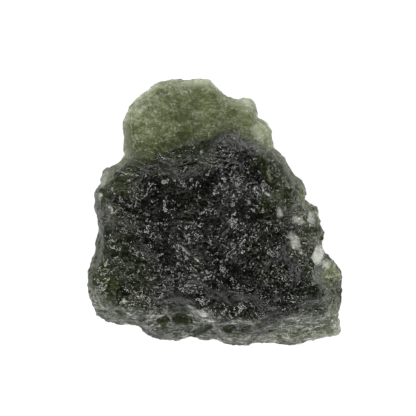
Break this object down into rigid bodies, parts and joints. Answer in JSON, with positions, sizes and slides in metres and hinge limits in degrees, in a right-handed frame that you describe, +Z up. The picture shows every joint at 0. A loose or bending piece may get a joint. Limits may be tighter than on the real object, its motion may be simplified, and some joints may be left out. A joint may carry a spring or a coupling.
{
  "type": "moldavite",
  "caption": "Rough translucent green tektite glass with a thick etched body and a thin, lighter crown behind a ledge, lying on its back as a display stone.",
  "frame": {"origin": "on the plane that the stone rests on, under the middle of its outline", "axes": "+Z up through the thickness, out of the front face; +Y along the longest extent, towards the thin crown; +X to the right when the front face is looked at with the crown at the top"},
  "size_m": [0.0332, 0.0346, 0.0126],
  "materials": {
    "moldavite_glass": "etched, satin to glossy; clear green where thin and nearly black where thick"
  },
  "bodies": {
    "root": {"moldavite": "moldavite_glass"}
  },
  "joints": []
}
